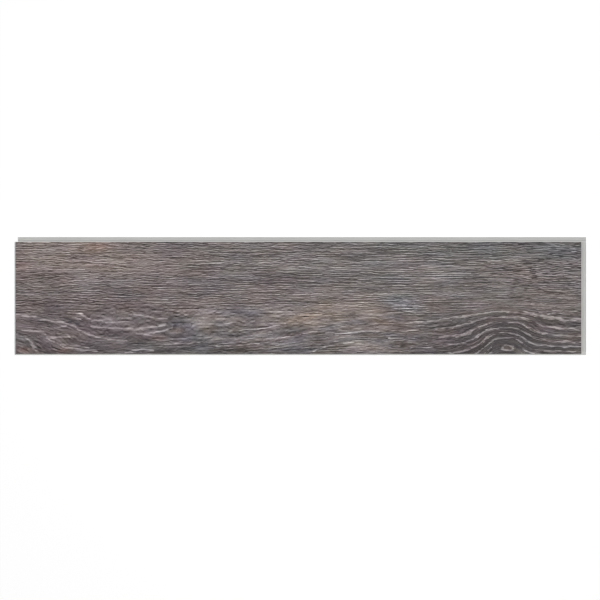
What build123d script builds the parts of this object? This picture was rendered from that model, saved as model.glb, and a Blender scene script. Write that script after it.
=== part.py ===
# Herringbone vinyl plank: a rigid grey vinyl core with a click lock milled into its four edges,
# under a printed wear layer. With the length along X, the lower lips stand out on the far long
# side (+Y) and the right end (+X), and the short tongues on the near long side (-Y) and the left
# end (-X). The origin is on the underside, below the centre of the printed face.

from build123d import *
import os

# Printed face, as it shows in a laid floor: 24 by 4 3/4 inches
face_length = 609.6
face_width = 120.65
edge_bevel = 0.3

# Thicknesses of the core and of the printed layer on it
core_thickness = 4.4
wear_thickness = 0.6

# Lower lip, from the face edge outwards: floor, flank, ridge, nose
lip_floor_width = 1.3
flank_width = 1.1
ridge_width = 1.3
nose_width = 1.5
lip_floor_height = 1.4
flank_rise = 0.8
nose_drop = 0.7
toe_bevel = 0.4
ridge_round = 0.2

# Tongue, from its belly upwards: lead-in, tip, sloping back
tongue_reach = 1.1
tongue_belly_width = 0.5
tongue_lead_rise = 0.4
tongue_tip_height = 0.6
tongue_back_rise = 0.3
tongue_round = 0.12

# Play between the lock of one plank and the lock of the next
lock_clearance = 0.1

# Length cut from a lip, or from its ridge, where it meets a tongue side
corner_notch = 2.4

# Places that follow from those sizes: distances out from the face edge, and heights
half_length = face_length / 2
half_width = face_width / 2
flank_end = lip_floor_width + flank_width
ridge_end = flank_end + ridge_width
lip_reach = ridge_end + nose_width
groove_depth = tongue_reach + lock_clearance
recess_depth = lip_reach + lock_clearance
ridge_height = lip_floor_height + flank_rise
nose_height = ridge_height - nose_drop
belly_height = lip_floor_height + lock_clearance
tip_bottom = belly_height + tongue_lead_rise
tip_top = tip_bottom + tongue_tip_height
tongue_top = tip_top + tongue_back_rise
recess_roof = ridge_height + lock_clearance

# Section planes at the ends of the four edges: local X points out from the face, local Y points up,
# and the normal runs along the edge
lip_side = Plane(origin=(-half_length, half_width, 0), x_dir=(0, 1, 0), z_dir=(1, 0, 0))
lip_end = Plane(origin=(half_length, half_width, 0), x_dir=(1, 0, 0), z_dir=(0, -1, 0))
tongue_side = Plane(origin=(half_length, -half_width, 0), x_dir=(0, -1, 0), z_dir=(-1, 0, 0))
tongue_end = Plane(origin=(-half_length, -half_width, 0), x_dir=(-1, 0, 0), z_dir=(0, 1, 0))


def lip_section(plane):
    """Flat floor, sloping flank, rounded ridge and a nose that falls away to a bevelled toe."""
    with BuildSketch(plane) as section:
        with BuildLine():
            Polyline(
                (0, 0),
                (lip_reach - toe_bevel, 0),
                (lip_reach, toe_bevel),
                (lip_reach, nose_height),
                (ridge_end, ridge_height),
                (flank_end, ridge_height),
                (lip_floor_width, lip_floor_height),
                (0, lip_floor_height),
                close=True,
            )
        make_face()
        fillet(section.vertices().group_by(Axis.Y)[-1], radius=ridge_round)
    return section.sketch


def lip_end_trim(plane):
    """What a lip's nose and toe leave open, cut across the end of the lip that runs past it."""
    with BuildSketch(plane) as section:
        with BuildLine():
            Polyline(
                (ridge_end, ridge_height),
                (lip_reach, nose_height),
                (lip_reach, ridge_height),
                close=True,
            )
        make_face()
        with BuildLine():
            Polyline(
                (lip_reach - toe_bevel, 0),
                (lip_reach, toe_bevel),
                (lip_reach, 0),
                close=True,
            )
        make_face()
    return section.sketch


def groove_section(plane):
    """Undercut above the lip's floor, which takes the tongue of the next plank."""
    with BuildSketch(plane) as section:
        with BuildLine():
            Polyline(
                (0, lip_floor_height),
                (0, tongue_top + lock_clearance),
                (-groove_depth, tip_top + lock_clearance),
                (-groove_depth, tip_bottom - lock_clearance),
                (-tongue_belly_width - lock_clearance, lip_floor_height),
                close=True,
            )
        make_face()
    return section.sketch


def tongue_section(plane):
    """Blunt tongue below the face edge, with a lead-in under its rounded tip."""
    with BuildSketch(plane) as section:
        with BuildLine():
            Polyline(
                (0, belly_height),
                (tongue_belly_width, belly_height),
                (tongue_reach, tip_bottom),
                (tongue_reach, tip_top),
                (0, tongue_top),
                close=True,
            )
        make_face()
        fillet(section.vertices().group_by(Axis.X)[-1], radius=tongue_round)
    return section.sketch


def recess_section(plane):
    """Space under a tongue edge for the lip of the next plank, with the flank that locks on it."""
    with BuildSketch(plane) as section:
        with BuildLine():
            Polyline(
                (0, 0),
                (0, belly_height),
                (lock_clearance - lip_floor_width, belly_height),
                (lock_clearance - flank_end, recess_roof),
                (-lock_clearance - ridge_end, recess_roof),
                (-recess_depth, nose_height + lock_clearance),
                (-recess_depth, 0),
                close=True,
            )
        make_face()
    return section.sketch


with BuildPart() as core_board:
    with BuildSketch():
        Rectangle(face_length, face_width)
    extrude(amount=core_thickness)

    # Undercuts behind the lips, and the recesses under the tongues
    extrude(groove_section(lip_side), amount=face_length, mode=Mode.SUBTRACT)
    extrude(groove_section(lip_end), amount=face_width, mode=Mode.SUBTRACT)
    extrude(recess_section(tongue_side), amount=face_length, mode=Mode.SUBTRACT)
    extrude(recess_section(tongue_end), amount=face_width, mode=Mode.SUBTRACT)

    # The long lip starts past the tongue end's notch and runs through the corner
    extrude(lip_section(lip_side.offset(corner_notch)), amount=face_length + lip_reach - corner_notch)

    # The end lip butts against it, shapes its outer end and stops level with the tongue
    extrude(lip_end_trim(lip_end), amount=-lip_reach, mode=Mode.SUBTRACT)
    extrude(lip_section(lip_end), amount=face_width + tongue_reach)

    # The end lip's ridge is cut down to its floor where the long tongue meets it
    with BuildSketch(Plane.XY.offset(lip_floor_height)):
        with Locations((half_length, -half_width - tongue_reach)):
            Rectangle(lip_reach, corner_notch + tongue_reach, align=Align.MIN)
    extrude(amount=flank_rise, mode=Mode.SUBTRACT)

    # One tongue goes round the near left corner
    with BuildLine():
        Polyline(
            (half_length, -half_width, 0),
            (-half_length, -half_width, 0),
            (-half_length, half_width, 0),
        )
    sweep(tongue_section(tongue_side), transition=Transition.RIGHT)

core_board.part.label = "core_board"

with BuildPart() as printed_face:
    with BuildSketch(Plane.XY.offset(core_thickness)):
        Rectangle(face_length, face_width)
    extrude(amount=wear_thickness)
    chamfer(printed_face.faces().sort_by(Axis.Z)[-1].edges(), length=edge_bevel)

printed_face.part.label = "printed_face"

os.makedirs("parts", exist_ok=True)
export_step(core_board.part, "parts/core_board.step")
export_step(printed_face.part, "parts/printed_face.step")
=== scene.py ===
import bmesh
import bpy
import numpy as np
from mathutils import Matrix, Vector


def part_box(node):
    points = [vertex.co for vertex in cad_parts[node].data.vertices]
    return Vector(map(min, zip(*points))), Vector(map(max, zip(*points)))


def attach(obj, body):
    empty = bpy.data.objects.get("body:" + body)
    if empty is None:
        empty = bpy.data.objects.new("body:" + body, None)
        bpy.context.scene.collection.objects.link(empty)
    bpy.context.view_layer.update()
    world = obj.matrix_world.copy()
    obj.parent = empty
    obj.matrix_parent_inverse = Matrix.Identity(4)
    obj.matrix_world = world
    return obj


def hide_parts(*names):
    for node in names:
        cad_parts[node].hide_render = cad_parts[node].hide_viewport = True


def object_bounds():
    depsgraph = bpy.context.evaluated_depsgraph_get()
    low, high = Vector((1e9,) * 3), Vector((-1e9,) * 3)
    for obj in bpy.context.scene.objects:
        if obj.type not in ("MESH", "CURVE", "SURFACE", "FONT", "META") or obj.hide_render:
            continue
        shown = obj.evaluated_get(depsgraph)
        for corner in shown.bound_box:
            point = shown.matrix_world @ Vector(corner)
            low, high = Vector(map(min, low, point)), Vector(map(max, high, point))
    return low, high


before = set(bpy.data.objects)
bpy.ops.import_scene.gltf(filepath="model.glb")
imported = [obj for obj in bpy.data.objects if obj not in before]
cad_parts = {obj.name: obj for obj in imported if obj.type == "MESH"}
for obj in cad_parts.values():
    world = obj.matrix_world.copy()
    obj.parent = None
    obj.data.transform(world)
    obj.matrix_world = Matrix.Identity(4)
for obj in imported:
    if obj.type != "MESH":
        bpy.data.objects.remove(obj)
cadBox = [list(corner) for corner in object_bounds()]
mm = 0.001
white = (1.0, 1.0, 1.0, 1.0)
noiseMiddle = 0.5  # Blender's noise varies about it
print("frame loaded:", sorted(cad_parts))


# helpers for shader trees
def addNode(tree, kind, settings, inputs):  # a socket is linked, any other value is set on the input
    node = tree.nodes.new(kind)
    for name, value in settings.items():
        setattr(node, name, value)
    for key, value in inputs.items():
        if isinstance(value, bpy.types.NodeSocket):
            tree.links.new(value, node.inputs[key])
        else:
            node.inputs[key].default_value = value
    return node


def calc(tree, operation, a, b=0.0, c=0.0):  # one Math node on up to three numbers
    inputs = {0: a, 1: b, 2: c}
    return addNode(tree, "ShaderNodeMath", {"operation": operation}, inputs).outputs[0]


def vectorCalc(tree, operation, inputs):  # one Vector Math node
    return addNode(tree, "ShaderNodeVectorMath", {"operation": operation}, inputs).outputs[0]


def combine(tree, x, y, z=0.0):  # three numbers as a vector
    return addNode(tree, "ShaderNodeCombineXYZ", {}, {0: x, 1: y, 2: z}).outputs[0]


def split(tree, vector):  # a vector's three numbers
    return addNode(tree, "ShaderNodeSeparateXYZ", {}, {0: vector}).outputs


def ramp(tree, value, low, high):  # 0 at low and before it, 1 at high and past it, smooth between
    settings = {"interpolation_type": "SMOOTHSTEP"}
    inputs = {"Value": value, "From Min": low, "From Max": high, "To Min": 0.0, "To Max": 1.0}
    return addNode(tree, "ShaderNodeMapRange", settings, inputs).outputs["Result"]


def placeInMm(tree):  # Object coordinates, in millimetres
    place = addNode(tree, "ShaderNodeTexCoord", {}, {}).outputs["Object"]
    return vectorCalc(tree, "SCALE", {0: place, "Scale": 1.0 / mm})


def addBump(tree, shader, strength, depth, height):  # the normal leans as a height times the depth would
    inputs = {"Strength": strength, "Distance": depth, "Height": height}
    bump = addNode(tree, "ShaderNodeBump", {}, inputs)
    tree.links.new(bump.outputs["Normal"], shader.inputs["Normal"])


def newGroup(name, inputs, outputs):  # inputs: name -> default number, or None for a vector
    tree = bpy.data.node_groups.new(name, "ShaderNodeTree")
    for label, value in inputs.items():
        kind = "NodeSocketVector" if value is None else "NodeSocketFloat"
        socket = tree.interface.new_socket(label, in_out="INPUT", socket_type=kind)
        if value is not None:
            socket.default_value = value
    for label in outputs:
        tree.interface.new_socket(label, in_out="OUTPUT", socket_type="NodeSocketFloat")
    given = tree.nodes.new("NodeGroupInput").outputs
    result = tree.nodes.new("NodeGroupOutput").inputs
    return tree, given, result


def useGroup(tree, group, inputs):  # places the group and gives its outputs
    return addNode(tree, "ShaderNodeGroup", {"node_tree": group}, inputs).outputs


def newMaterial(name):  # the material, its tree and its shader
    material = bpy.data.materials.new(name)
    material.use_nodes = True
    tree = material.node_tree
    return material, tree, tree.nodes["Principled BSDF"]


streakGain = 4.0  # brings the noise, less its middle, to about -1 to 1


# streaks: noise drawn out along the first axis of Flow, with its length and width in millimetres
def makeStreakGroup():
    inputs = {"Flow": None, "Length": 10.0, "Width": 1.0, "Seed": 0.0}
    tree, given, result = newGroup("streaks", inputs, ["Streak"])
    parts = split(tree, given["Flow"])
    along = calc(tree, "DIVIDE", parts[0], given["Length"])
    across = calc(tree, "DIVIDE", parts[1], given["Width"])
    place = combine(tree, along, across, given["Seed"])
    noise = addNode(tree, "ShaderNodeTexNoise", {}, {"Vector": place, "Scale": 1.0, "Detail": 0.0})
    centred = calc(tree, "SUBTRACT", noise.outputs["Fac"], noiseMiddle)
    tree.links.new(calc(tree, "MULTIPLY", centred, streakGain), result["Streak"])
    return tree


# level of a strand: gain times noise to the power, plus drop, which reaches further below 0 than above it
strandLevel = {"power": 0.6, "gain": 2.28, "drop": -1.425}
strandSlip = 50.0  # rows start up to so many lengths apart


# strands: straight rows along the first axis of Flow, each slipped along and cut into lengths with a level
# each, less a share of the levels in the rows on either side, which sets neighbours apart
def makeStrandGroup():
    inputs = {"Flow": None, "Length": 10.0, "Width": 1.0, "Start": 0.0, "Share": 0.0, "Seed": 0.0}
    tree, given, result = newGroup("strands", inputs, ["Strand"])
    parts = split(tree, given["Flow"])
    along = calc(tree, "DIVIDE", parts[0], given["Length"])
    across = calc(tree, "DIVIDE", calc(tree, "SUBTRACT", parts[1], given["Start"]), given["Width"])
    ownRow = calc(tree, "ADD", calc(tree, "FLOOR", across), given["Seed"])

    def whiteNoise(dimensions, place):  # a number from 0 to 1 for each place
        settings = {"noise_dimensions": dimensions}
        return addNode(tree, "ShaderNodeTexWhiteNoise", settings, place).outputs["Value"]

    def level(shift):  # in the row that lies so many rows on
        row = calc(tree, "ADD", ownRow, shift)
        slip = whiteNoise("1D", {"W": row})
        cell = calc(tree, "FLOOR", calc(tree, "MULTIPLY_ADD", slip, strandSlip, along))
        noise = whiteNoise("2D", {"Vector": combine(tree, cell, row)})
        curved = calc(tree, "POWER", noise, strandLevel["power"])
        return calc(tree, "MULTIPLY_ADD", curved, strandLevel["gain"], strandLevel["drop"])

    beside = calc(tree, "ADD", level(-1.0), level(1.0))
    less = calc(tree, "MULTIPLY", beside, given["Share"])
    tree.links.new(calc(tree, "SUBTRACT", level(0.0), less), result["Strand"])
    return tree


streakGroup = makeStreakGroup()
strandGroup = makeStrandGroup()
print("node groups made")


# how the grain runs, in millimetres from the middle of the face, x to the right and y up
grain = {
    "dipDepth": 16.0, "dipFrom": -4.0, "dipTo": -52.0,  # long dip in the lower left
    "dipFront": -228.0, "dipKnee": -36.0, "dipLean": 1.8,  # its steep side, further left in the lowest lines
    "dipRise": (-75.0, 30.0), "dipFall": (-190.0, 120.0), "dipRest": 0.25,
    "archMiddle": 224.0, "archLeft": 46.0, "archRight": 32.0,  # cathedral figure near the right end
    "archTop": -3.6, "archSoft": 4.0, "archSqueeze": 0.42, "archRest": 0.85,
    "archFall": 11.0, "fallFrom": 4.0, "fallTo": 34.0,  # its lines come down together on the right
    "archNarrow": 0.4, "narrowFrom": -18.0, "narrowTo": -54.0,  # and close in towards the near edge
    "waverFrom": -8.0, "waverTo": -30.0,  # where the grain starts to waver
    "waverLong": (1.1, 90.0, 15.0), "waverShort": (0.38, 13.0, 7.0),  # amount, size along and across
    "ringFirst": 22.6, "ringPitch": 8.6, "ringSeen": (112.0, 164.0), "ringLevels": (-2.2, -0.4),
    "ringGap": 0.85, "ringVary": 0.3, "ringVaryLong": 26.0,  # a ring's width varies along it
    "ringHide": 4.0,  # gap added where no ring is seen
    "eyeX": 225.6, "eyeY": -53.6, "eyeLong": 6.6, "eyeTall": 2.8,  # small closed ring inside the arch
    "heartLong": 15.5, "heartTall": 9.8, "heartEdge": (0.8, 1.05),  # plain dark heart around it
    "seed": 7,
}


def fade(x, start, end):  # 0 at start, 1 at end, smoothstep between
    t = np.clip((x - start) / (end - start), 0.0, 1.0)
    return t * t * (3.0 - 2.0 * t)


# 1 in the arch's middle, falling with the cube of the distance to 0 on the left and to a rest on the right
def archHump(x, y, rest):
    left = x < grain["archMiddle"]
    reach = np.where(left, grain["archLeft"], grain["archRight"])
    reach = reach * (1.0 - grain["archNarrow"] * fade(y, grain["narrowFrom"], grain["narrowTo"]))
    floor = np.where(left, 0.0, rest)
    return floor + (1.0 - floor) / (1.0 + np.abs((x - grain["archMiddle"]) / reach) ** 3)


def wander(seed, x, y, sizeX, sizeY):  # smooth noise from -1 to 1: random heights on a lattice, blended
    gx, gy = (x - x.min()) / sizeX, (y - y.min()) / sizeY
    ix, iy = gx.astype(int), gy.astype(int)
    heights = np.random.default_rng(seed).uniform(-1.0, 1.0, (ix.max() + 2, iy.max() + 2))
    fx, fy = fade(gx - ix, 0.0, 1.0), fade(gy - iy, 0.0, 1.0)
    near = heights[ix, iy] * (1.0 - fx) + heights[ix + 1, iy] * fx
    far = heights[ix, iy + 1] * (1.0 - fx) + heights[ix + 1, iy + 1] * fx
    return near * (1.0 - fy) + far * fy


def spot(x, y, px, py, long, wide, tilt):  # tilted Gaussian, 1 in its middle
    dx, dy = x - px, y - py - tilt * (x - px)
    return np.exp(-0.5 * ((dx / long) ** 2 + (dy / wide) ** 2))


# grain coordinate: depth below the middle, less the dip and the fall on the right, then stretched under the
# arch so that its level lines rise there, and a little noise that makes it waver
def grainDepth(x, y):
    g = grain
    front = g["dipFront"] + g["dipLean"] * np.minimum(y - g["dipKnee"], 0.0)
    dip = fade(x, front + g["dipRise"][0], front + g["dipRise"][1])
    dip = dip * (1.0 - (1.0 - g["dipRest"]) * fade(x, *g["dipFall"])) * fade(y, g["dipFrom"], g["dipTo"])
    depth = -y - g["dipDepth"] * dip
    fall = np.where(x > g["archMiddle"], g["archFall"] * (1.0 - archHump(x, y, 0.0)), 0.0)
    depth = depth - fall * fade(depth, g["fallFrom"], g["fallTo"])
    below = depth + g["archTop"]
    below = 0.5 * (below + np.sqrt(below ** 2 + g["archSoft"] ** 2))
    depth = depth + below * (1.0 / (1.0 - g["archSqueeze"] * archHump(x, y, g["archRest"])) - 1.0)
    low = fade(y, g["waverFrom"], g["waverTo"])
    longAmount, *longSizes = g["waverLong"]
    shortAmount, *shortSizes = g["waverShort"]
    depth = depth + longAmount * low * wander(g["seed"], x, y, *longSizes)
    return depth + shortAmount * low * wander(g["seed"] + 1, x, y, *shortSizes)


# light lines of the print outside the arch: how strong, then the few points where it bends
lines = {
    "left1": (1.2, [(-304, -18.5), (-287, -20), (-275, -23.5), (-251, -26.5),
                    (-239, -33.5), (-225, -39), (-211, -43.5)]),
    "left2": (1.05, [(-239, -16.5), (-228, -20), (-224, -24.3), (-201, -23.7)]),
    "left3": (1.45, [(-222, -31), (-209, -32.6), (-177, -33.6), (-164, -32), (-143, -29)]),
    "left4": (0.8, [(-208, -26.7), (-197, -25.7), (-181, -25.2)]),
    "left5": (0.8, [(-179, -18), (-163, -19.5), (-153, -22), (-141, -22)]),
    "left6": (1.15, [(-165, -39), (-152, -37), (-137, -32)]),
    "left7": (1.15, [(-278, -32.4), (-259, -32), (-251, -30)]),
    "left8": (1.1, [(-299, -34), (-276, -37), (-271, -40)]),
    "left8steep": (1.1, [(-271, -40), (-266, -46), (-251, -53)]),
    "left8foot": (1.25, [(-251, -53), (-233, -56.5), (-219, -57)]),
    "left9": (1.4, [(-270, -42.8), (-259, -42.5), (-247, -41)]),
    "left10": (1.1, [(-244, -51.4), (-234, -52), (-225, -54)]),
    "left11": (1.0, [(-301, -40), (-293, -42)]),
    "left11steep": (1.5, [(-293, -42), (-288, -48), (-285, -53), (-280, -58)]),
    "left12": (1.25, [(-187, -59), (-168, -55.5), (-156, -56.5)]),
    "left13": (1.15, [(-211, -43.5), (-203, -45), (-186, -46.5)]),
    "left14": (0.9, [(-243, -20.7), (-235, -22.8)]),
    "left15": (0.8, [(-200, -49.6), (-190, -49.2)]),
    "middle1": (0.6, [(-86, -29), (-57, -25)]),
    "middle2": (0.7, [(-77, -36), (-40, -33.5), (-14, -28)]),
    "middle3": (0.6, [(-37, -45.5), (-10, -41)]),
    "middle4": (0.7, [(-90, -52), (-62, -51.5), (-43, -49)]),
    "middle5": (0.6, [(-150, -50), (-105, -48.5)]),
    "middle6": (0.6, [(2, -40), (22, -35)]),
    "middle7": (0.7, [(36, -40), (70, -36), (115, -35.5), (165, -33)]),
    "middle8": (0.8, [(17, -57), (32, -52), (46, -49.5), (60, -48)]),
    "middle9": (0.6, [(98, -43.5), (124, -43)]),
    "middle10": (0.6, [(82, -57), (110, -51)]),
    "middle11": (0.7, [(120, -26), (163, -24)]),
    "middle12": (0.7, [(122, -53.5), (146, -53)]),
    "right1": (0.6, [(250, -7), (266, -7)]),
    "right2": (0.7, [(256, -11), (270, -13), (283, -15), (304, -14)]),
    "right3": (0.6, [(258, -15), (266, -17.5), (275, -16), (292, -17.5)]),
    "shoulder1": (1.3, [(171, -41.5), (186, -37.5)]),
    "shoulder2": (1.5, [(189, -43), (200, -37)]),
    "shoulder3": (1.5, [(199.5, -46.5), (205, -41)]),
}


# distance in millimetres to the nearest line, arch ring or eye; a strong line counts as nearer
def lineGap(x, y, depth):
    g = grain
    ring = (depth - g["ringFirst"]) / g["ringPitch"]
    squeeze = 1.0 - g["archSqueeze"] * archHump(x, y, g["archRest"])
    gap = np.abs(ring - np.round(ring)) * g["ringPitch"] * squeeze
    gap = gap * (g["ringGap"] + g["ringVary"] * wander(g["seed"] + 2, x, ring, g["ringVaryLong"], 1.0))
    eye = np.hypot((x - g["eyeX"]) / g["eyeLong"], (y - g["eyeY"]) / g["eyeTall"])
    heart = np.hypot((x - g["eyeX"]) / g["heartLong"], (y - g["eyeY"]) / g["heartTall"])
    seen = fade(x, *g["ringSeen"]) * fade(ring, *g["ringLevels"]) * fade(heart, *g["heartEdge"])
    gap = gap + g["ringHide"] * (1.0 - seen)
    gap = np.minimum(gap, np.abs(eye - 1.0) * g["eyeTall"])
    for strength, points in lines.values():
        for (ax, ay), (bx, by) in zip(points, points[1:]):
            dx, dy = bx - ax, by - ay
            t = np.clip(((x - ax) * dx + (y - ay) * dy) / (dx * dx + dy * dy), 0.0, 1.0)
            gap = np.minimum(gap, np.hypot(x - ax - t * dx, y - ay - t * dy) / strength)
    return gap


# soft patches of the print and one painted shade: x, y, half length, half width, tilt, then tone, warmth and
# violet in 255ths
patches = {
    "paleUpperLeft": (-245, 46, 75, 17, 0.0, 20, 3, -4),
    "paleUpperLeft2": (-170, 30, 60, 7, 0.0, 9, 1, -1),
    "brownLeft": (-220, 0, 110, 60, 0.0, 0, 3, 0.5),
    "rustEdge": (-300, 36, 8, 10, 0.0, 0, 5, 0),
    "rustUpper": (-218, 55, 14, 4, 0.0, 5, 10, -5),
    "greenUpperRight": (170, 56, 110, 10, 0.0, -10, -4, 0.5),
    "blueUpperRight": (275, 52, 25, 8, 0.0, -4, -3, 1.5),
    "paleUpperMiddle": (5, 36, 40, 6, 0.0, 9, 0, -1),
    "paleUpperRight": (180, 34, 50, 9, 0.0, 8, -1, -1),
    "darkMiddle": (-50, 18, 60, 7, 0.0, -14, 0, 1.5),
    "darkLeft": (-220, -8, 80, 9, 0.0, -9, 2, 0.5),
    "darkTopMiddle": (-130, 54, 22, 6, 0.0, -10, -2, 2),
    "paleLow1": (-99, -26, 17, 11, 0.0, 24, 3, -5),
    "paleLow2": (-40, -18, 36, 12, 0.15, 8, 1, -1),
    "paleLow3": (58, -12, 34, 16, -0.1, 15, 3, -3),
    "paleLow4": (10, -22, 30, 8, 0.1, 8, 3, -3),
    "paleFoot": (80, -54.5, 14, 4.5, 0.0, 44, 1, -3),
    "brownBand": (107, -28, 28, 4, 0.0, -3, 2, -1.5),
    "tanFoot1": (-296, -56, 5, 2, 0.0, 4, 9, -5),
    "tanFoot2": (-253, -56.5, 6, 2.5, 0.0, 4, 9, -5),
    "tanFoot3": (-151, -43, 6, 2.5, 0.0, 3, 8, -4),
    "tanKnot": (-130, -34.5, 6, 2.5, 0.0, 18, 6, -6),
    "tanLow1": (-97, -35, 5, 4, 0.0, 6, 3, -4),
    "tanLow2": (-40, -53, 10, 2.5, 0.0, 14, 4, -4),
    "tanLow3": (10, -19, 9, 5, 0.0, 6, 3, -4),
    "tanLow4": (27, -6, 7, 3, 0.0, 6, 3, -4),
    "rustMiddle": (-42, 3, 12, 6, 0.0, 3, 5, -1),
    "tanMiddle": (83, -13, 9, 9, -0.3, 12, 3, -4),
    "tanRight": (145, -8, 14, 7, 0.0, 5, 4, -4),
    "blueMiddle": (113, -7, 18, 7, -0.25, -6, -6, 4),
    "blueLow1": (-85, -30, 30, 8, 0.1, -3, -3, 3),
    "blueLow2": (-112, -39, 12, 6, 0.0, -14, -4, 4),
    "blueLow3": (-63, -17, 16, 4, 0.0, -5, -2, 2),
    "blueLow4": (-10, -34, 14, 2.5, 0.1, -8, -5, 3),
    "blueLeft": (-130, -28, 16, 5, 0.1, -3, -4, 5),
    "violetLow": (-215, -42, 85, 15, 0.0, -17, 0.3, 2.4),
    "darkLow": (-5, -45, 14, 5, 0.0, -13, -1, 3),
    "darkFoot": (-100, -58, 60, 5, 0.0, -14, -3, 1),
    "darkFootRight": (135, -59, 20, 4, 0.0, -18, -2, 1),
    "darkArch": (226, -42, 62, 22, 0.0, -35, 0.5, 0.5),
    "pinkArchLeft": (165, -48, 25, 14, 0.0, -6, 2, 1),
    "heartGlow": (225.6, -53.6, 5, 2.2, 0.0, 8, 4, -3),
    "paleDrop1": (242, -58.5, 3.5, 2.5, 0.0, 45, 0, -2),
    "paleDrop2": (256, -59.5, 3.0, 2.0, 0.0, 45, 0, -2),
    # painted shade: the face made darker along its near edge, where its bevel turns away from the light
    "paintedShadeNearEdge": (0, -61, 900, 4.5, 0.0, -12, 0, 0),
    "blueArch": (243, -48, 12, 6, -0.4, -3, -3, 2),
    "tanEnd": (255, -7, 40, 9, 0.0, 6, 3, -3),
    "warmEnd": (240, 24, 30, 8, 0.0, 2, 3, 0),
    "speckLeft1": (-245, -25, 4.5, 1.3, -0.1, -40, -4, 2),
    "speckLeft2": (-238, -28, 3, 1.0, -0.2, -35, -3, 3),
    "speckMiddle": (-133, -29.5, 2.0, 1.2, 0.0, -50, 0, 6),
}


def patchTint(x, y):  # sum of the patches: tone, warmth, violet
    tint = np.zeros((3,) + x.shape)
    for px, py, long, wide, tilt, *amounts in patches.values():
        tint += np.multiply.outer(np.array(amounts) / 255.0, spot(x, y, px, py, long, wide, tilt))
    return tint


# places where short light dashes gather: x, y, half length, half width, tilt, strength
dashes = {
    "middle": (115, -9.5, 13, 6.5, -0.2, 1.0),
    "left1": (-259, -39.5, 11, 3.5, 0.0, 0.35),
    "left2": (-251, -27.5, 9, 2.5, -0.1, 0.25),
}


# where the print changes character: spots as in the patches, and the bounds between which a fade rises
regions = {
    "choppedRight": (270.0, 30.0, 45.0, 20.0, 0.0),  # strands are cut short
    "choppedLeft": (-225.0, -2.0, 80.0, 14.0, 0.0), "choppedLeftShare": 0.55,
    "longRight": (150.0, 28.0, 60.0, 18.0, 0.0),  # strands are long
    "paleAbove": (5.0, 25.0), "paleLeft": (-60.0, -180.0),  # pale upper left
    "lowBelow": (-8.0, -22.0), "washLeft": (-90.0, -170.0), "archRight": (110.0, 180.0),  # dip and arch
    "softBelow": (-4.0, -20.0), "softLeft": (-150.0, -100.0), "softRight": (150.0, 90.0),  # smears between
    "poreChopped": 2.6, "porePale": 0.8,  # stronger pores there
    "calmPale": 0.3, "calmSoft": 0.5,  # weaker strands there
}


# layers that the print's material reads: the grain, the gap to a line, the tints and the regions; a region is
# a spot or a product of fades, chop and pore add them up, and calm and dash take the most of them
def printLayers(x, y, depth, gap):
    r = regions
    tone, warmth, violet = patchTint(x, y)
    chopped = spot(x, y, *r["choppedRight"])
    chop = chopped - spot(x, y, *r["longRight"]) + r["choppedLeftShare"] * spot(x, y, *r["choppedLeft"])
    pale = fade(y, *r["paleAbove"]) * fade(x, *r["paleLeft"])
    low = fade(y, *r["lowBelow"])
    wash = low * fade(x, *r["washLeft"])
    soft = fade(y, *r["softBelow"]) * fade(x, *r["softLeft"]) * fade(x, *r["softRight"])
    calm = np.maximum(wash, low * fade(x, *r["archRight"]))
    calm = np.maximum.reduce([calm, r["calmPale"] * pale, r["calmSoft"] * soft])
    dash = np.maximum.reduce([strength * spot(x, y, *place) for *place, strength in dashes.values()])
    pore = 1.0 + r["poreChopped"] * chopped + r["porePale"] * pale
    return {
        "flowU": x, "flowV": depth, "lineGap": gap, "tone": tone, "warmth": warmth, "violet": violet,
        "chop": chop, "dash": dash, "calm": calm, "soft": soft, "wash": wash, "pore": pore,
    }


# printed face: a grid over the plank; a wander is given by its seed, amount, size along and size across
face = {
    "columns": 340, "rows": 276, "bevel": 0.3 * mm, "emboss": 0.09 * mm,
    "raggedAlong": [(31, 2.6, 9.0, 4.0)],  # the lines' raggedness
    "raggedAcross": [(32, 0.6, 8.0, 2.6), (33, 0.38, 4.2, 1.3)],
    "pits": [(23, 0.5, 14.0, 0.9), (24, 0.5, 6.0, 0.7)],  # long pits along the grain
    "lineWide": 0.8, "lineShare": 0.5, "pitShare": 0.5,
    "weld": 1e-7, "sliver": 1e-8,
}


def wanders(rows, x, y):  # sum of wanders, each times its amount
    return sum(amount * wander(seed, x, y, *sizes) for seed, amount, *sizes in rows)


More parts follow.
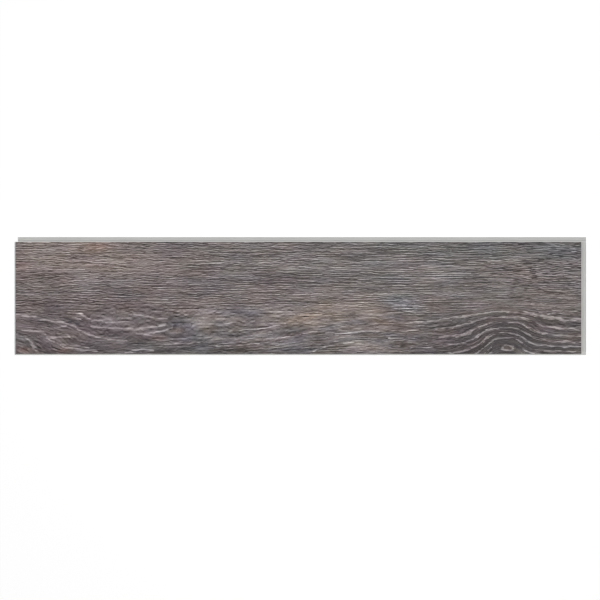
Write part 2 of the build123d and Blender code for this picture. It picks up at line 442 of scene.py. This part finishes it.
# height is the top, less the emboss times the relief, with the border folded down into the bevel and the
# sides; relief is a Gaussian of the gap to a line plus the pits, each times its share
def makePrintedFace():
    low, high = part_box("printed_face")
    bevel = face["bevel"]

    def axis(a, b, cells):  # the side and the bevel's foot share a place, then even cells
        inner = np.linspace(a + bevel, b - bevel, cells + 1)
        return np.concatenate([[a, a], inner, [b, b]])

    def drop(count):  # height below the top: the side's foot, the bevel's foot, then 0
        down = np.zeros(count)
        down[[0, -1]] = high[2] - low[2]
        down[[1, -2]] = bevel
        return down

    ax, ay = axis(low[0], high[0], face["columns"]), axis(low[1], high[1], face["rows"])
    x, y = np.meshgrid(ax, ay, indexing="ij")
    down = np.maximum.outer(drop(len(ax)), drop(len(ay)))
    xm, ym = x / mm, y / mm
    depth = grainDepth(xm, ym)
    raggedX = xm + wanders(face["raggedAlong"], xm, ym)
    raggedY = ym + wanders(face["raggedAcross"], xm, ym)
    gap = lineGap(raggedX, raggedY, depth + raggedY - ym)
    pits = np.clip(wanders(face["pits"], xm, depth), 0.0, 1.0)
    relief = face["lineShare"] * np.exp(-(gap / face["lineWide"]) ** 2) + face["pitShare"] * pits
    inside = down == 0.0
    inside[[2, -3], :] = False  # the bevel's upper edge stays level
    inside[:, [2, -3]] = False
    z = high[2] - down - np.where(inside, face["emboss"] * relief, 0.0)

    nx, ny = x.shape
    index = np.arange(nx * ny).reshape(nx, ny)
    quads = np.stack([index[:-1, :-1], index[1:, :-1], index[1:, 1:], index[:-1, 1:]], axis=-1)
    rim = np.concatenate([index[:, -1], index[-1, -2::-1], index[-2::-1, 0], index[0, 1:-1]])
    faces = quads.reshape(-1, 4).tolist() + [rim.tolist()]  # one large face closes the underside
    mesh = bpy.data.meshes.new("printedFace")
    mesh.from_pydata(np.stack([x, y, z], axis=-1).reshape(-1, 3), [], faces)
    for name, values in printLayers(xm, ym, depth, gap).items():
        layer = mesh.attributes.new(name, "FLOAT", "POINT")
        layer.data.foreach_set("value", values.astype(np.float32).ravel())
    work = bmesh.new()
    work.from_mesh(mesh)
    bmesh.ops.remove_doubles(work, verts=work.verts, dist=face["weld"])
    bmesh.ops.dissolve_degenerate(work, edges=work.edges, dist=face["sliver"])
    work.to_mesh(mesh)
    work.free()
    piece = bpy.data.objects.new("printedFace", mesh)
    bpy.context.collection.objects.link(piece)
    return piece


# wood print, in display values; streaks are given by length, width and seed, strands by length and seed
woodPrint = {
    "tone": 0.3855, "patchTone": 0.9, "warmth": 0.0262, "violet": -0.001, "gamma": 2.2,
    "redShare": 0.7, "greenShare": -0.3,  # warmth raises red and lowers green and blue
    "rowPitch": 1.0775, "rowStart": 0.075, "rowShare": 0.36,  # rows of strands
    "slide": (6.0, 0.2, 61.5), "slideBy": 1.6,  # a strand's ends slide along, fibre by fibre
    "waver": (3.0, 0.5, 64.2), "waverBy": 0.09,  # and its sides waver
    "strands": {  # length, seed, tone, then what chop and calm add to 1
        "long": (42.0, 1000.0, 0.066, -1.0, -0.8),
        "middle": (14.0, 2000.0, 0.098, -0.3, -0.6),
        "fine": (5.0, 3000.0, 0.093, 0.6, -0.3),
    },
    "grit": (1.6, 5000.0), "gritTone": 0.055,  # very short strands
    "fibre": (6.0, 0.2, 67.9), "fibreTone": 0.044,
    "cloud": (42.0, 7.0, 31.9), "cloudTone": 0.048,
    "stroke": (10.0, 6000.0), "strokeRange": (0.7, 1.0), "strokeTone": 0.023,  # the lightest strands
    "dash": (5.0, 4000.0), "dashRange": (0.3, 0.65), "dashTone": 0.3,
    "smear": (17.0, 3.2, 77.7), "smearTone": 0.062,  # between the dip and the arch
    "pore": (7.0, 7000.0), "poreRange": (-0.7, -1.1), "poreTone": -0.095,
    "ragged": (7.0, 0.9, 20.6), "raggedBy": 0.5, "lineHalf": 0.36, "lineSoft": 0.4, "lineTone": 0.272,
    "worn": (13.0, 2.6, 27.2), "wornRange": (-1.05, -0.05), "wornWash": 1.1,  # lines are worn off in places
    "lineWash": -0.36,  # and fainter in the dip
    "wash": (14.0, 3.0, 88.1), "washBy": 1.6, "washRange": (3.2, 0.6), "washTone": 0.058,
    "shadeRise": (1.0, 1.5), "shadeFall": (2.6, 1.9), "shadeTone": -0.044,  # gaps where a line's shade lies
    "warmMottle": (30.0, 9.0, 52.5), "violetMottle": (26.0, 8.0, 58.3), "mottle": 0.008,
    "tint": (24.0, 5.5, 83.2), "tintWarm": 0.006, "tintViolet": -0.013,
    "roughness": 0.5, "roughVary": 0.03, "specular": 0.16, "bump": 0.15, "bumpDepth": 0.05 * mm,
}


# tone is a base plus the patches, strands, fibres, clouds, dashes, pores and lines, each times its share;
# red is above green by the warmth, blue by the violet, and the gamma turns display values into linear ones
def makePrintMaterial():
    material, tree, shader = newMaterial("woodPrint")
    p = woodPrint
    place = placeInMm(tree)

    def read(name):  # the mesh's layer
        return addNode(tree, "ShaderNodeAttribute", {"attribute_name": name}, {}).outputs["Fac"]

    def times(a, b):  # a times b
        return calc(tree, "MULTIPLY", a, b)

    def scaled(value, amount, onto):  # value times amount, plus onto
        return calc(tree, "MULTIPLY_ADD", value, amount, onto)

    flow = combine(tree, read("flowU"), read("flowV"))

    def streak(length, width, seed, path=flow):  # streaks along a path
        inputs = {"Flow": path, "Length": length, "Width": width, "Seed": seed}
        return useGroup(tree, streakGroup, inputs)["Streak"]

    shift = combine(tree, times(streak(*p["slide"]), p["slideBy"]), times(streak(*p["waver"]), p["waverBy"]))

    def strand(length, seed, path=flow):  # strands along a path, shifted fibre by fibre
        inputs = {"Flow": vectorCalc(tree, "ADD", {0: path, 1: shift}), "Length": length, "Seed": seed}
        inputs.update({"Width": p["rowPitch"], "Start": p["rowStart"], "Share": p["rowShare"]})
        return useGroup(tree, strandGroup, inputs)["Strand"]

    tone = scaled(read("tone"), p["patchTone"], p["tone"])
    woven = {}
    for name, (length, seed, share, chopped, calmed) in p["strands"].items():
        woven[name] = times(strand(length, seed), scaled(read("chop"), chopped, 1.0))
        tone = scaled(times(woven[name], scaled(read("calm"), calmed, 1.0)), share, tone)
    tone = scaled(strand(*p["grit"]), p["gritTone"], tone)
    tone = scaled(streak(*p["fibre"]), p["fibreTone"], tone)
    tone = scaled(streak(*p["cloud"]), p["cloudTone"], tone)
    tone = scaled(ramp(tree, strand(*p["stroke"]), *p["strokeRange"]), p["strokeTone"], tone)
    dash = ramp(tree, strand(*p["dash"], place), *p["dashRange"])
    tone = scaled(times(dash, read("dash")), p["dashTone"], tone)
    tone = scaled(times(streak(*p["smear"]), read("soft")), p["smearTone"], tone)
    pore = ramp(tree, strand(*p["pore"]), *p["poreRange"])
    tone = scaled(times(pore, read("pore")), p["poreTone"], tone)

    # light lines, with a pale wash around them in the dip and a thin shade beside them
    ragged = scaled(streak(*p["ragged"], place), p["raggedBy"], read("lineGap"))
    line = ramp(tree, ragged, p["lineHalf"] + p["lineSoft"], p["lineHalf"])
    worn = scaled(read("wash"), p["wornWash"], streak(*p["worn"]))
    line = times(line, ramp(tree, worn, *p["wornRange"]))
    tone = scaled(times(line, scaled(read("wash"), p["lineWash"], 1.0)), p["lineTone"], tone)
    wash = ramp(tree, scaled(streak(*p["wash"]), p["washBy"], read("lineGap")), *p["washRange"])
    tone = scaled(times(wash, read("wash")), p["washTone"], tone)
    shade = times(ramp(tree, ragged, *p["shadeRise"]), ramp(tree, ragged, *p["shadeFall"]))
    tone = scaled(times(shade, read("calm")), p["shadeTone"], tone)

    warmth = scaled(streak(*p["warmMottle"]), p["mottle"], calc(tree, "ADD", read("warmth"), p["warmth"]))
    violet = scaled(streak(*p["violetMottle"]), p["mottle"], calc(tree, "ADD", read("violet"), p["violet"]))
    tint = times(streak(*p["tint"]), read("soft"))
    warmth = scaled(tint, p["tintWarm"], warmth)
    violet = scaled(tint, p["tintViolet"], violet)
    red = scaled(warmth, p["redShare"], tone)
    green = scaled(warmth, p["greenShare"], tone)
    blue = calc(tree, "ADD", green, violet)
    shown = addNode(tree, "ShaderNodeCombineColor", {}, {0: red, 1: green, 2: blue}).outputs[0]
    colour = addNode(tree, "ShaderNodeGamma", {}, {"Color": shown, "Gamma": p["gamma"]}).outputs[0]
    tree.links.new(colour, shader.inputs["Base Color"])
    shine = scaled(woven["fine"], -p["roughVary"], scaled(line, p["roughVary"], p["roughness"]))
    tree.links.new(shine, shader.inputs["Roughness"])
    shader.inputs["Specular IOR Level"].default_value = p["specular"]
    height = times(calc(tree, "ADD", woven["fine"], woven["middle"]), -1.0)  # dark strands stand up
    addBump(tree, shader, p["bump"], p["bumpDepth"], height)
    return material


printedFace = makePrintedFace()
printedFace.data.materials.append(makePrintMaterial())
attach(printedFace, "root")
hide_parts("printed_face")
print("printed face made:", len(printedFace.data.polygons), "faces")


# core: light grey vinyl, full of stone dust, with cutter marks along the milled edges
core = {
    "colour": (0.5, 0.502, 0.488), "gritScale": 2.6, "gritDetail": 2.0, "gritTone": 0.09,
    "cloud": (30.0, 9.0, 12.3), "cloudTone": 0.02,  # length, width, seed
    "mark": (70.0, 0.22, 45.6), "markTone": 0.035, "markShare": 0.5,  # share in roughness and bump
    "endStart": 0.3,  # from here inside the face's end, marks run along the end
    "tiltShadeTone": -0.7, "tiltShadeMost": 0.2,  # painted shade: milled slopes are made a little darker than the flats, as if less lit
    "roughness": 0.6, "roughVary": 0.08, "specular": 0.3, "bump": 0.25, "bumpDepth": 0.04 * mm,
}


# brightness is 1, plus fine grit, soft clouds, marks that follow the nearest edge and a painted shade on the
# slopes (1 less the upright part of the normal, up to a most), each times its share
def makeCoreMaterial():
    material, tree, shader = newMaterial("filledVinyl")
    c = core
    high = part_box("printed_face")[1]
    place = placeInMm(tree)
    x, y, z = split(tree, place)

    def past(value, edge):  # 1 further than edge from the middle, 0 nearer
        return calc(tree, "GREATER_THAN", calc(tree, "ABSOLUTE", value), edge)

    beyondEnd = past(x, high[0] / mm - c["endStart"])
    withinSides = calc(tree, "SUBTRACT", 1.0, past(y, high[1] / mm))
    atEnd = calc(tree, "MULTIPLY", beyondEnd, withinSides)
    alongSide = combine(tree, x, calc(tree, "ADD", y, z))
    alongEnd = combine(tree, y, calc(tree, "ADD", x, z))
    vectors = {0: atEnd, 4: alongSide, 5: alongEnd}  # the Mix node's vector sockets are 4 and 5, and 1 out
    along = addNode(tree, "ShaderNodeMix", {"data_type": "VECTOR"}, vectors).outputs[1]

    def streak(length, width, seed):  # streaks along the nearest edge
        inputs = {"Flow": along, "Length": length, "Width": width, "Seed": seed}
        return useGroup(tree, streakGroup, inputs)["Streak"]

    gritInputs = {"Vector": place, "Scale": c["gritScale"], "Detail": c["gritDetail"]}
    grit = addNode(tree, "ShaderNodeTexNoise", {}, gritInputs).outputs["Fac"]
    grit = calc(tree, "SUBTRACT", grit, noiseMiddle)
    cloud = streak(*c["cloud"])
    mark = streak(*c["mark"])
    # painted shade: the further a face tilts from upright, the darker it is made
    facing = addNode(tree, "ShaderNodeTexCoord", {}, {}).outputs["Normal"]
    upright = calc(tree, "ABSOLUTE", split(tree, facing)[2])
    tiltShade = calc(tree, "MINIMUM", calc(tree, "SUBTRACT", 1.0, upright), c["tiltShadeMost"])
    bright = 1.0
    shares = {"gritTone": grit, "cloudTone": cloud, "markTone": mark, "tiltShadeTone": tiltShade}
    for name, source in shares.items():
        bright = calc(tree, "MULTIPLY_ADD", source, c[name], bright)
    colour = vectorCalc(tree, "SCALE", {0: c["colour"], "Scale": bright})
    tree.links.new(colour, shader.inputs["Base Color"])
    shine = calc(tree, "MULTIPLY_ADD", grit, c["roughVary"], c["roughness"])
    shine = calc(tree, "MULTIPLY_ADD", mark, c["markShare"] * c["roughVary"], shine)
    tree.links.new(shine, shader.inputs["Roughness"])
    shader.inputs["Specular IOR Level"].default_value = c["specular"]
    height = calc(tree, "MULTIPLY_ADD", mark, c["markShare"], grit)
    addBump(tree, shader, c["bump"], c["bumpDepth"], height)
    return material


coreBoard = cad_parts["core_board"]
coreBoard.data.materials.clear()
coreBoard.data.materials.append(makeCoreMaterial())
print("core dressed")


# stage: pale floor, soft light from above, camera straight overhead
stage = {
    "floorSize": 12.0, "floorDrop": 0.1 * mm, "floorColour": (0.95, 0.95, 0.95, 1.0), "floorGlow": 0.07,
    "floorRoughness": 0.9, "sky": 0.15,
    "lampSize": 0.9, "lampPlace": (0.12, 0.12, 3.5), "lampPower": 106.0,
    "lens": 300.0, "frameWidth": 646.5 * mm, "aim": (1.63 * mm, -2.23 * mm),
    "clipEnd": 4.0,  # in distances from the camera to the plank
}


def makeFloor():  # square just below the plank, which glows a little to the camera and in reflections
    half = 0.5 * stage["floorSize"]
    z = -stage["floorDrop"]
    corners = [(-half, -half, z), (half, -half, z), (half, half, z), (-half, half, z)]
    mesh = bpy.data.meshes.new("floor")
    mesh.from_pydata(corners, [], [(0, 1, 2, 3)])
    floor = bpy.data.objects.new("floor", mesh)
    bpy.context.collection.objects.link(floor)
    material, tree, shader = newMaterial("paleFloor")
    shader.inputs["Base Color"].default_value = stage["floorColour"]
    shader.inputs["Roughness"].default_value = stage["floorRoughness"]
    shader.inputs["Specular IOR Level"].default_value = 0.0
    rays = addNode(tree, "ShaderNodeLightPath", {}, {}).outputs
    seen = calc(tree, "MAXIMUM", rays["Is Camera Ray"], rays["Is Glossy Ray"])
    seen = calc(tree, "MAXIMUM", seen, rays["Is Transmission Ray"])
    shader.inputs["Emission Color"].default_value = white
    tree.links.new(calc(tree, "MULTIPLY", seen, stage["floorGlow"]), shader.inputs["Emission Strength"])
    mesh.materials.append(material)


def makeLight():  # even white sky and one square lamp turned to the origin
    world = bpy.data.worlds.new("studio")
    world.use_nodes = True
    sky = world.node_tree.nodes["Background"].inputs
    sky["Color"].default_value = white
    sky["Strength"].default_value = stage["sky"]
    bpy.context.scene.world = world
    lamp = bpy.data.lights.new("softbox", "AREA")
    lamp.shape = "SQUARE"
    lamp.size = stage["lampSize"]
    lamp.energy = stage["lampPower"]
    softbox = bpy.data.objects.new("softbox", lamp)
    softbox.location = stage["lampPlace"]
    softbox.rotation_euler = Vector(stage["lampPlace"]).to_track_quat("Z", "Y").to_euler()
    bpy.context.collection.objects.link(softbox)


def makeCamera():  # above the plank by the frame's width times the lens over the sensor's width
    lens = bpy.data.cameras.new("camera")
    lens.lens = stage["lens"]
    distance = stage["frameWidth"] * stage["lens"] / lens.sensor_width
    lens.clip_end = stage["clipEnd"] * distance
    camera = bpy.data.objects.new("camera", lens)
    camera.location = (*stage["aim"], cadBox[1][2] + distance)
    bpy.context.collection.objects.link(camera)
    bpy.context.scene.camera = camera


makeFloor()
makeLight()
makeCamera()
bpy.context.scene.view_settings.view_transform = "Standard"
print("stage set")
